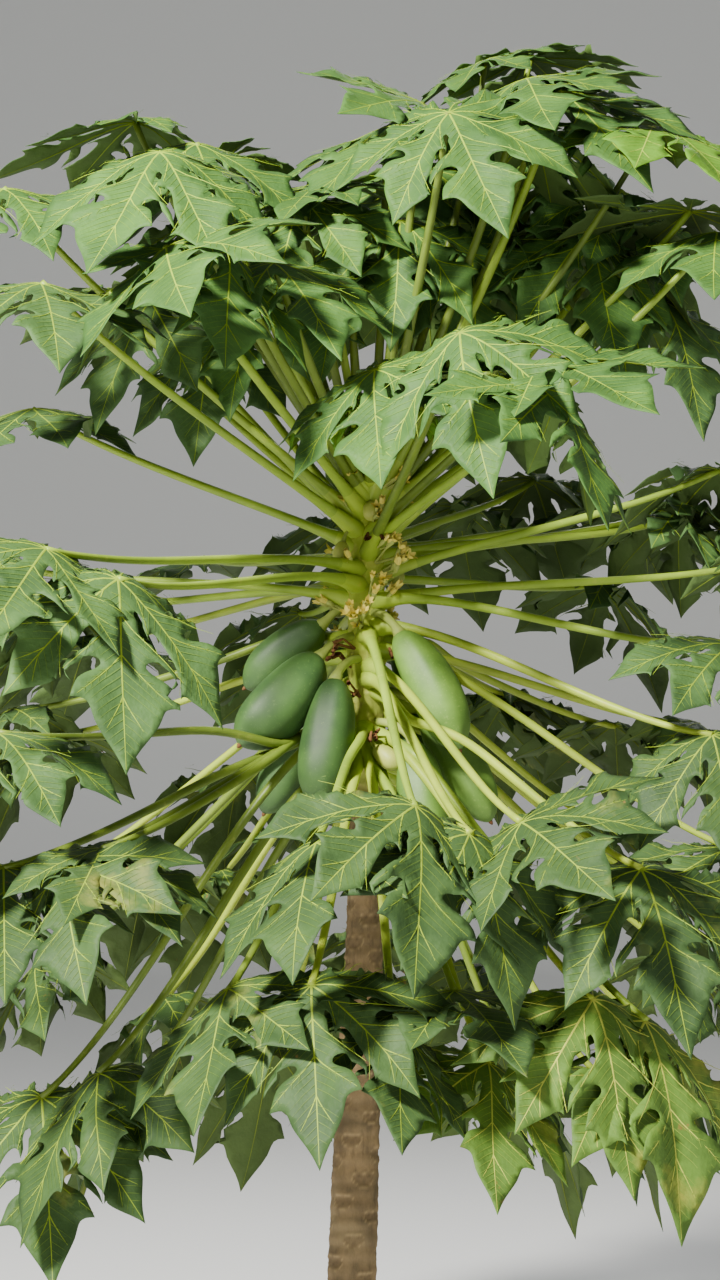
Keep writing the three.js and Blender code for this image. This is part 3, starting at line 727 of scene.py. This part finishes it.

# ---------------------------------------------------------------- foliage
# top and bottom of each fruit, its radius, its look (0 green, 1 the same green darkened as painted shade, 2 young)
FRUITS = [
    ((0.118, -0.085, 2.012), (0.248, -0.150, 1.752), 0.056, 0), ((-0.056, -0.085, 1.958), (-0.226, -0.162, 1.762), 0.066, 1),
    ((-0.020, -0.125, 1.908), (-0.060, -0.195, 1.632), 0.058, 1), ((0.176, -0.030, 1.842), (0.318, -0.070, 1.598), 0.053, 0),
    ((0.150, -0.100, 1.770), (0.192, -0.150, 1.508), 0.055, 0), ((-0.050, 0.010, 2.036), (-0.224, 0.040, 1.896), 0.052, 1),
    ((0.131, 0.070, 1.858), (0.218, 0.122, 1.628), 0.053, 1), ((0.020, 0.120, 1.966), (-0.022, 0.192, 1.706), 0.056, 0),
    ((-0.080, 0.090, 1.858), (-0.184, 0.122, 1.616), 0.055, 1), ((0.120, 0.100, 2.024), (0.204, 0.142, 1.830), 0.049, 0),
    ((0.066, -0.085, 1.760), (0.118, -0.120, 1.715), 0.023, 2), ((0.055, -0.040, 2.302), (0.064, -0.062, 2.262), 0.021, 2),
    ((-0.004, -0.045, 2.215), (-0.014, -0.064, 2.166), 0.018, 2), ((0.098, 0.050, 2.190), (0.120, 0.066, 2.126), 0.023, 2),
    ((0.000, 0.055, 2.130), (-0.020, 0.080, 2.056), 0.025, 2)]
FRUIT_T = [0, 0.012, 0.04, 0.09, 0.16, 0.26, 0.38, 0.50, 0.62, 0.74, 0.84, 0.91, 0.96, 0.99, 1.0]
FRUIT_W = [0.08, 0.24, 0.42, 0.60, 0.75, 0.87, 0.96, 1.0, 1.0, 0.94, 0.80, 0.60, 0.38, 0.17, 0.04]

def drape(path):
    """a stalk that meets a fruit is pushed round it"""
    path = path.copy()
    for _ in range(50):
        moved = np.zeros_like(path)
        for top, bot, r, _look in FRUITS:
            top, ax = np.array(top), np.array(bot) - np.array(top)
            t = np.clip((path - top) @ ax / (ax @ ax), 0, 1)
            d = path - (top + t[:, None] * ax)
            dist = np.linalg.norm(d, axis=1)
            need = r * np.interp(t, FRUIT_T, FRUIT_W) + 0.017
            k = dist < need
            push = d / np.maximum(dist, 1e-6)[:, None] + np.array([0, 0, 0.35 if path[0][2] > top[2] - 0.11 else -0.6])
            push /= np.linalg.norm(push, axis=1)[:, None]
            moved[k] += (push * (need - dist)[:, None])[k] * 0.5
        if not np.abs(moved).max() > 1e-4:
            break
        moved[:3] = 0; moved[-3:] = 0
        ker = np.array([1, 2, 3, 2, 1]) / 9
        spread = np.stack([np.convolve(moved[:, c], ker, mode="same") for c in range(3)], axis=1)
        moved = np.where(np.linalg.norm(moved, axis=1)[:, None] > 0, moved, spread)
        moved[:2] = 0; moved[-2:] = 0
        path += moved
        mid = (path[:-2] + path[2:]) / 2 - path[1:-1]
        path[2:-2] += 0.18 * mid[1:-1]
    return path

BAGS = {(c[0], k): (Bag(), Bag()) for c in CLASSES for k in (False, True)}
BASES = []
# leaves stay in the CAD box, but for 2.4% of each side
LIMIT = [np.array(CAD_BOX[0]) - 0.024 * (np.array(CAD_BOX[1]) - np.array(CAD_BOX[0])), np.array(CAD_BOX[1]) + 0.024 * (np.array(CAD_BOX[1]) - np.array(CAD_BOX[0]))]
LIMIT[0][2] = 0.3
stalks = Bag()
for i, row in enumerate(LEAVES):
    h, az, reach, climb, size, facing, hang, roll, age = row
    rng = np.random.default_rng(4100 + i)
    klass = klass_of(age)
    back = math.sin(rad(az)) > 0.35
    hub = leaf(rng, leaf_hub(row), size / 1000, facing, hang, roll, BAGS[klass, back], narrow=rng.uniform(0.95, 1.10), lift=0.2 if age < 0.23 else 1.0, step=0.058 if back else 0.043, sub=1 if back else 2, limit=LIMIT)
    path = drape(stalk_path(row, hub, 34))
    t = np.linspace(0, 1, len(path))
    base, neck, end = (0.025, 0.0108, 0.0074) if age > 0.15 else (0.018, 0.0100, 0.0066)
    radii = np.interp(t, [0, 0.04, 0.075, 0.12, 0.19, 0.30, 0.6, 0.94, 0.985, 1], [base, base, base * 0.80, base * 0.62, neck * 1.10, neck, (neck + end) / 2 + 0.0008, end, end * 1.2, end * 1.1])
    sides = 8 if back else 10
    v, f, uv = tube(path, radii, sides, flat=0.90, ridge=0.035, ridges=3)
    u = rng.uniform()
    k = 0 if age < 0.33 and u < 0.6 else (1 if age < 0.55 or u < 0.25 else 2)
    # older stalks on the front left take the dark olive material as painted shade; on young stalks the olive is their
    # own colour
    if age > 0.5 and not back and math.cos(rad(az)) < -0.25:
        k = 0
    ks = np.full(len(f), k)
    # the paler foot is a painted highlight of the sunlit stalk bases
    ks[:sides * int(len(path) * (0.11 + 0.05 * rng.uniform()))] = 3        # the swollen foot is paler
    stalks.add(v, f, ks, uv)
    BASES.append((h / 1000, az, base))

# young shoot: small folded leaves standing on the stem's tip
SHOOT = 13
for i in range(SHOOT):
    rng = np.random.default_rng(7300 + i)
    q = i / (SHOOT - 1)
    az = 137.5 * i + 40
    out = np.array([math.cos(rad(az)), math.sin(rad(az)), 0.0])
    x, y, r = stem_at(2.375)
    p0 = np.array([x, y, 2.355 - 0.045 * q]) + out * (0.004 + 0.010 * q)
    length, lean = 0.06 + 0.20 * q, 0.12 + 0.40 * q
    hub = p0 + out * length * lean + np.array([0, 0, length * (1 - 0.3 * lean)])
    path = bezier(p0, p0 + np.array([0, 0, length * 0.4]) + out * 0.02 * q, hub - np.array([0, 0, length * 0.25]) - out * 0.012, hub, 12)
    v, f, uv = tube(path, np.interp(np.linspace(0, 1, 12), [0, 0.15, 0.4, 1], [0.0165, 0.0115, 0.0065, 0.0038]) * (0.7 + 0.4 * q), 8)
    stalks.add(v, f, 1, uv)
    leaf(rng, hub, 0.055 + 0.105 * q, az, 8 + 52 * q, rng.uniform(-12, 12), BAGS["young", False],
         lobes=[(-118, 0.55), (-80, 0.75), (-42, 0.92), (0, 1.0), (42, 0.92), (80, 0.75), (118, 0.55)], step=0.07, sub=2, fold=0.8, droop=1.3, veins=False)

pieces, leaf_pieces = [], []
for c in CLASSES:
    for k, side in ((False, ""), (True, "_back")):
        blades, ribs = BAGS[c[0], k]
        if blades.n:
            leaf_pieces.append(blades.make("leaves_" + c[0] + side, LEAF_MATS[c[0]]))
            leaf_pieces.append(ribs.make("leaf_ribs_" + c[0] + side, RIB_MATS[c[0]]))

stalk_ob = stalks.make("leaf_stalks", STALK_MATS)

# ---------------------------------------------------------------- stem with leaf scars
def stem_mesh():
    around, up = 84, 400
    th = 2 * np.pi * np.arange(around) / around
    zs = np.concatenate([[0.0, 0.006], np.linspace(0.014, 2.375, up - 2)])
    hs = np.array([s[0] for s in STEM])
    fine = np.linspace(0, 2.375, 600)
    def soft(k):
        q = np.interp(fine, hs, [s[k] for s in STEM])
        ker = np.hanning(61); ker /= ker.sum()
        qq = np.convolve(np.pad(q, 30, mode="edge"), ker, mode="valid")
        w = smooth(fine, 0.05, 0.35) * (1 - smooth(fine, 2.26, 2.34))
        return np.interp(zs, fine, q * (1 - w) + qq * w)
    cx, cy, rr = soft(1), soft(2), soft(3)
    T, Z = np.meshgrid(th, zs)
    R = np.repeat(rr[:, None], around, axis=1)
    rng = np.random.default_rng(77)
    d = np.zeros_like(R); scar = np.zeros_like(R); rim = np.zeros_like(R); dots = np.zeros_like(R)
    z, k = 0.10, 0
    while z < 2.30:
        a = rad(137.5 * k) + rng.uniform(-0.06, 0.06)
        wd = (0.026 if z < 1.7 else 0.022) * rng.uniform(0.88, 1.1)
        ht = wd * 0.62
        dx = ((T - a + np.pi) % (2 * np.pi) - np.pi) * rr[:, None] / wd
        dz = (Z - z) / ht
        # rounded triangle with a dip in its upper edge, point down
        prof = np.maximum(0.0, 1.0 - np.abs(dx) ** 2.2)
        top = 0.75 * prof ** 0.5 - 0.22 * np.exp(-(dx / 0.22) ** 2)
        bot = -1.15 * prof ** 0.75
        inside = np.where(np.abs(dx) < 1, np.minimum(top - dz, dz - bot), -0.3 - np.abs(dx))
        s_in = smooth(inside, -0.02, 0.16)
        s_rim = np.exp(-((inside - 0.0) / 0.13) ** 2) * (np.abs(dx) < 1.1)
        scar = np.maximum(scar, s_in); rim = np.maximum(rim, s_rim)
        d += -0.0014 * s_in + 0.0017 * s_rim
        for bx, bz in ((-0.42, 0.12), (0.0, -0.42), (0.42, 0.12)):
            g = np.exp(-(((dx - bx) / 0.13) ** 2 + ((dz - bz) / 0.2) ** 2))
            dots = np.maximum(dots, g); d += 0.0007 * g
        z += 0.0165 - 0.0035 * smooth(np.array(z), 1.2, 2.2)
        k += 1
    for hz, az, rb in BASES:             # the stem swells under each leaf stalk
        q = ((T - rad(az) + np.pi) % (2 * np.pi) - np.pi) * rr[:, None]
        d += 0.006 * min(1.0, rb / 0.025) * float(1 - smooth(np.array(hz), 2.15, 2.34)) * np.exp(-((q / 0.024) ** 2 + ((Z - hz + 0.010) / 0.026) ** 2))
    d += 0.0006 * np.sin(9 * T + 3 * np.sin(7 * Z)) * (1 - scar) + 0.0009 * np.sin(2 * np.pi * Z / 0.034 + 1.3 * np.sin(T)) * (1 - smooth(Z, 1.6, 2.0))
    d += 0.0014 * np.sin(3 * T + 4.1 * Z) + 0.0012 * np.sin(2 * T - 6.3 * Z + 1.0)
    d += 0.006 * np.cos(4 * T + 0.6) * (1 - smooth(Z, 0.0, 0.16))
    Rr = R + d
    P = np.stack([cx[:, None] + Rr * np.cos(T), cy[:, None] + Rr * np.sin(T), Z], axis=2).reshape(-1, 3)
    n = len(zs)
    f = [(i * around + j, i * around + (j + 1) % around, (i + 1) * around + (j + 1) % around, (i + 1) * around + j) for i in range(n - 1) for j in range(around)]
    P = np.vstack([P, [cx[0], cy[0], 0.0], [cx[-1], cy[-1], 2.383]])
    k = n * around
    for j in range(around):
        f.append((k, (j + 1) % around, j))
        f.append((k + 1, (n - 1) * around + j, (n - 1) * around + (j + 1) % around))
    me = bpy.data.meshes.new("bark")
    me.from_pydata(P.tolist(), [], f)
    me.polygons.foreach_set("use_smooth", [True] * len(f))
    for name, val in (("scar", scar), ("rim", rim), ("dots", dots)):
        at = me.attributes.new(name, "FLOAT", "POINT")
        at.data.foreach_set("value", np.concatenate([val.ravel(), [0, 0]]).astype(np.float32))
    me.update()
    ob = bpy.data.objects.new("bark", me)
    bpy.context.scene.collection.objects.link(ob)
    return ob

def bark_material():
    m, nt, b = material("bark", srgb(150, 126, 94), 0.82, 0.25)
    def attr(name):
        n = nt.nodes.new("ShaderNodeAttribute"); n.attribute_name = name
        return n.outputs["Fac"]
    vec = obj_coords(nt)
    streak = obj_coords(nt, (1, 1, 0.25))
    col = mix_color(nt, ramp(nt, noise(nt, 14.0, 5.0, 0.6, vec), 0.35, 0.65), srgb(92, 78, 56), srgb(140, 116, 82))
    col = mix_color(nt, math_node(nt, "MULTIPLY", ramp(nt, noise(nt, 70.0, 4.0, 0.6, streak), 0.52, 0.7), 0.55), col, srgb(74, 62, 46))
    col = mix_color(nt, math_node(nt, "MULTIPLY", ramp(nt, noise(nt, 5.0, 2.0, 0.5, vec), 0.55, 0.66), 0.45), col, srgb(156, 136, 100))
    col = mix_color(nt, math_node(nt, "MULTIPLY", attr("scar"), 0.62), col, srgb(104, 86, 60))
    col = mix_color(nt, math_node(nt, "MULTIPLY", attr("rim"), 0.55), col, srgb(168, 144, 104))
    col = mix_color(nt, math_node(nt, "MULTIPLY", attr("dots"), 0.6), col, srgb(68, 54, 38))
    pos = nt.nodes.new("ShaderNodeSeparateXYZ")
    nt.links.new(vec, pos.inputs[0])
    hgt = math_node(nt, "ADD", pos.outputs[2], math_node(nt, "MULTIPLY", noise(nt, 7.0, 3.0, 0.5, vec), 0.45))
    green = mix_color(nt, ramp(nt, noise(nt, 20.0, 3.0, 0.5, vec), 0.35, 0.65), srgb(146, 164, 52), srgb(174, 188, 68))
    green = mix_color(nt, math_node(nt, "MULTIPLY", attr("rim"), 0.4), green, srgb(194, 198, 94))
    green = mix_color(nt, math_node(nt, "MULTIPLY", attr("scar"), 0.30), green, srgb(164, 152, 76))
    col = mix_color(nt, ramp(nt, hgt, 1.78, 2.10), col, green)
    nt.links.new(col, b.inputs["Base Color"])
    h = math_node(nt, "ADD", noise(nt, 120.0, 4.0, 0.6, streak), math_node(nt, "MULTIPLY", noise(nt, 35.0, 3.0, 0.5, vec), 0.8))
    bump(nt, b, h, 0.45, 0.003)
    return m

bark = stem_mesh()
bark.data.materials.append(bark_material())

# ---------------------------------------------------------------- fruit
def fruit_material(name, rgb, dark, pale):
    m, nt, b = material(name, srgb(*rgb), 0.52, 0.4)
    vec = obj_coords(nt)
    col = mix_color(nt, ramp(nt, noise(nt, 11.0, 4.0, 0.6, vec), 0.35, 0.65), srgb(*dark), srgb(*rgb))
    col = mix_color(nt, math_node(nt, "MULTIPLY", ramp(nt, noise(nt, 170.0, 3.0, 0.6, vec), 0.60, 0.70), 0.4), col, srgb(*pale))
    nt.links.new(col, b.inputs["Base Color"])
    bump(nt, b, noise(nt, 60.0, 3.0, 0.5, vec), 0.12, 0.002)
    return m

# the second fruit material is the green fruit darkened: painted shade for the fruits under the leaves
FRUIT_MATS = [fruit_material("fruit_green", (104, 140, 54), (80, 114, 42), (140, 164, 84)),
              fruit_material("fruit_green_painted_shade", (66, 98, 44), (48, 76, 36), (96, 124, 62)),
              fruit_material("fruit_young", (170, 176, 78), (146, 158, 66), (206, 200, 120)),
              rib_material("fruit_stalk", (150, 164, 76)), material("dry_brown", srgb(104, 72, 44), 0.85, 0.2)[0]]
fruit = Bag()
for i, (top, bot, rmax, look) in enumerate(FRUITS):
    rng = np.random.default_rng(900 + i)
    top, bot = np.array(top), np.array(bot)
    n = 30 if rmax > 0.04 else 16
    sides = 34 if rmax > 0.04 else 16
    t = np.linspace(0, 1, n)
    t = 0.5 - 0.5 * np.cos(np.pi * t)
    axis = (bot - top); ln = np.linalg.norm(axis)
    side = np.cross(axis, rng.uniform(-1, 1, 3)); side /= np.linalg.norm(side)
    path = top + np.outer(t, axis) + np.outer(0.05 * ln * np.sin(np.pi * t) * rng.uniform(-1, 1), side)
    prof = np.interp(t, FRUIT_T, FRUIT_W)
    ker = np.array([1, 2, 1]) / 4
    prof[1:-1] = np.convolve(prof, ker, mode="valid")
    prof = prof * rmax
    d = axis / ln
    u = np.cross(d, [0.0, 1.0, 0.1]); u /= np.linalg.norm(u); w = np.cross(d, u)
    a = 2 * np.pi * np.arange(sides) / sides + rng.uniform(0, 1)
    rid = 0.045 * (1 - 0.6 * t) * smooth(t, 0.0, 0.1) + 0.03 * smooth(t, 0.8, 1.0)
    rings = []
    for k in range(n):
        r = prof[k] * (1 + rid[k] * np.cos(5 * a + 0.4) + 0.012 * np.sin(2 * a + 3 * t[k]))
        rings.append(path[k] + np.outer(r * np.cos(a), u) + np.outer(r * np.sin(a), w))
    v = np.concatenate(rings + [path[:1], path[-1:]])
    f = [(k * sides + j, k * sides + (j + 1) % sides, (k + 1) * sides + (j + 1) % sides, (k + 1) * sides + j) for k in range(n - 1) for j in range(sides)]
    e = n * sides
    for j in range(sides):
        f.append((e, (j + 1) % sides, j)); f.append((e + 1, (n - 1) * sides + j, (n - 1) * sides + (j + 1) % sides))
    fruit.add(v, f, look)
    # stalk back to the stem
    x, y, r = stem_at(min(top[2] + 0.04, 2.34))
    hd = np.array([top[0] - x, top[1] - y, 0.0]); hd /= max(np.linalg.norm(hd), 1e-6)
    s0 = np.array([x, y, top[2] + 0.03 + 0.25 * rmax]) + hd * r * 0.6
    pr = 0.0095 if rmax > 0.04 else 0.004
    v, f, uv = tube(bezier(s0, s0 + hd * 0.03 + np.array([0, 0, 0.012]), top - d * 0.03, top + d * 0.01, 10), np.interp(np.linspace(0, 1, 10), [0, .2, .8, 1], [pr * 1.35, pr, pr * 1.05, pr * 1.9]), 10)
    fruit.add(v, f, 3, uv)
    # dry style at the end
    tip = bot + d * 0.0
    v, f, uv = tube(np.array([tip - d * 0.004, tip + d * 0.003, tip + d * 0.008]), [rmax * 0.10, rmax * 0.085, rmax * 0.03], 7)
    fruit.add(v, f, 4, uv)
fruit_ob = fruit.make("fruit", FRUIT_MATS)

# ---------------------------------------------------------------- flowers and buds at the stalk bases
FLOWER_MATS = [material("flower_cream", srgb(222, 206, 96), 0.55, 0.4)[0], rib_material("flower_stalk", (170, 178, 92)), material("flower_dry", srgb(112, 76, 46), 0.9, 0.15)[0]]
flowers = Bag()
def petal_flower(rng, p, d, size, look, opened):
    d = d / np.linalg.norm(d)
    u = np.cross(d, [0.1, 0.2, 1.0]); u /= np.linalg.norm(u); w = np.cross(d, u)
    v, f, uv = tube(np.array([p, p + d * size * 0.3, p + d * size * 0.55]), [size * 0.10, size * 0.15, size * 0.12], 8)
    flowers.add(v, f, look if look == 2 else 1, uv)
    for k in range(5):
        a = 2 * math.pi * k / 5 + rng.uniform(-0.1, 0.1)
        o = u * math.cos(a) + w * math.sin(a); sd = np.cross(d, o)
        c = p + d * size * 0.5 + o * size * 0.10
        rows = []
        for q in np.linspace(0, 1, 5):
            ctr = c + d * size * 0.55 * q * (1 - 0.45 * opened * q) + o * size * 0.42 * opened * q ** 1.6
            hw = size * 0.13 * math.sin(math.pi * min(0.96, 0.25 + 0.72 * q)) + 0.0004
            rows += [ctr - sd * hw, ctr + (o if opened < 0.4 else -d) * hw * 0.35, ctr + sd * hw]
        vv = np.array(rows); ff = []
        for q in range(4):
            for j in (0, 1):
                ff.append((q * 3 + j, q * 3 + j + 1, (q + 1) * 3 + j + 1, (q + 1) * 3 + j))
        vv = np.vstack([vv, vv - o * 0.0007]); ff += [tuple(i + 15 for i in g[::-1]) for g in ff]
        flowers.add(vv, ff, look)

rng = np.random.default_rng(55)
SPOTS = [(0.102, -0.075, 2.188, 0), (0.078, -0.080, 2.268, 0), (0.030, -0.078, 2.052, 0), (0.074, -0.082, 2.120, 0), (0.020, -0.075, 2.352, 0),
         (0.105, -0.060, 2.345, 0), (0.118, -0.070, 2.160, 0), (-0.020, -0.085, 1.998, 2), (0.012, -0.095, 1.892, 2), (0.062, -0.112, 1.796, 2),
         (0.060, -0.085, 2.232, 2), (0.088, -0.075, 2.215, 0), (0.046, -0.085, 2.070, 0)]
for k in range(16):
    z = 1.93 + 0.40 * k / 16
    a = rad(137.5 * k + 75)
    x, y, r = stem_at(z)
    SPOTS.append((x + (r + 0.03) * math.cos(a), y + (r + 0.03) * math.sin(a), z, 2 if z < 1.99 else 0))
for (px, py, pz, look) in SPOTS:
    x, y, r = stem_at(pz - 0.01)
    p = np.array([px, py, pz]); o = np.array([px - x, py - y, 0.0]); o /= np.linalg.norm(o)
    root = np.array([x, y, pz - 0.02]) + o * r * 0.8
    for q in range(4 if look == 0 else 3):
        off = rng.uniform(-0.016, 0.016, 3)
        tip = p + off
        v, f, uv = tube(bezier(root, root + o * 0.012, tip - o * 0.006, tip, 6), np.linspace(0.0032, 0.0022, 6), 6)
        flowers.add(v, f, 2 if look == 2 else 1, uv)
        d = o * rng.uniform(0.5, 1.0) + np.array([rng.uniform(-.4, .4), rng.uniform(-.4, .4), rng.uniform(0.1, 0.9)])
        if look == 0:
            petal_flower(rng, tip, d, rng.uniform(0.028, 0.044), 0, rng.uniform(0.0, 0.6) if q else 0.7)
        else:
            petal_flower(rng, tip, np.array([d[0], d[1], -abs(d[2])]), rng.uniform(0.02, 0.03), 2, 0.15)
flower_ob = flowers.make("flowers", FLOWER_MATS)

# ---------------------------------------------------------------- riding and replacing
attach(bark, "root"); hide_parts("stem")
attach(stalk_ob, "root"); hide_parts(*[n for n in NODES if n.startswith("leaf_stalk")])
for k, ob in enumerate(leaf_pieces):
    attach(ob, "root")
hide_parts(*[n for n in NODES if n.startswith("leaf_mass") or n.startswith("leaf_blade") or n == "young_tip"])
for ob in (fruit_ob, flower_ob):
    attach(ob, "root")

# ---------------------------------------------------------------- stage, light, camera
def stage():
    c, R = 20.0, 4.0
    prof = [(y, 0.0) for y in np.linspace(-24.0, c, 23)]
    prof += [(c + R * math.sin(a), R - R * math.cos(a)) for a in np.linspace(0.1, math.pi / 2, 14)] + [(c + R, 14.0)]
    v, f = [], []
    for y, z in prof:
        v += [(-24.0, y, z), (24.0, y, z)]
    for i in range(len(prof) - 1):
        f.append((2 * i, 2 * i + 1, 2 * i + 3, 2 * i + 2))
    me = bpy.data.meshes.new("floor"); me.from_pydata(v, [], f)
    me.polygons.foreach_set("use_smooth", [True] * len(f))
    ob = bpy.data.objects.new("floor", me); bpy.context.scene.collection.objects.link(ob)
    m, nt, b = material("floor", (0.90, 0.90, 0.88, 1), 0.9, 0.1)
    me.materials.append(m)
stage()

def area(name, loc, target, size, power, color=(1, 1, 1)):
    d = bpy.data.lights.new(name, "AREA"); d.shape = "DISK"; d.size = size; d.energy = power; d.color = color
    o = bpy.data.objects.new(name, d); o.location = loc
    o.rotation_euler = (Vector(target) - Vector(loc)).to_track_quat("-Z", "Y").to_euler()
    bpy.context.scene.collection.objects.link(o)
area("key", (-3.5, -5.4, 6.2), (0.0, 0.0, 1.9), 0.9, 2150, (1.0, 0.985, 0.93))
area("fill", (5.0, -4.5, 3.0), (0.0, 0.0, 1.9), 4.0, 34, (0.95, 0.98, 1.0))
area("back", (1.0, 4.5, 5.0), (0.0, 0.0, 2.0), 3.0, 110, (1.0, 1.0, 1.0))
w = bpy.data.worlds.new("studio"); bpy.context.scene.world = w
w.use_nodes = True
w.node_tree.nodes["Background"].inputs[0].default_value = (0.92, 0.96, 1.0, 1.0)
w.node_tree.nodes["Background"].inputs[1].default_value = 0.22

cam = bpy.data.cameras.new("camera"); cam.sensor_width = 36.0; cam.lens = 70.875; cam.clip_end = 100
co = bpy.data.objects.new("camera", cam)
elev, dist, target = math.radians(4.0), 5.6, Vector((0.033, 0.0, 2.0))
co.location = target - Vector((0.0, math.cos(elev), math.sin(elev))) * dist
co.rotation_euler = (math.pi / 2 + elev, 0.0, 0.0)
bpy.context.scene.collection.objects.link(co)
bpy.context.scene.camera = co
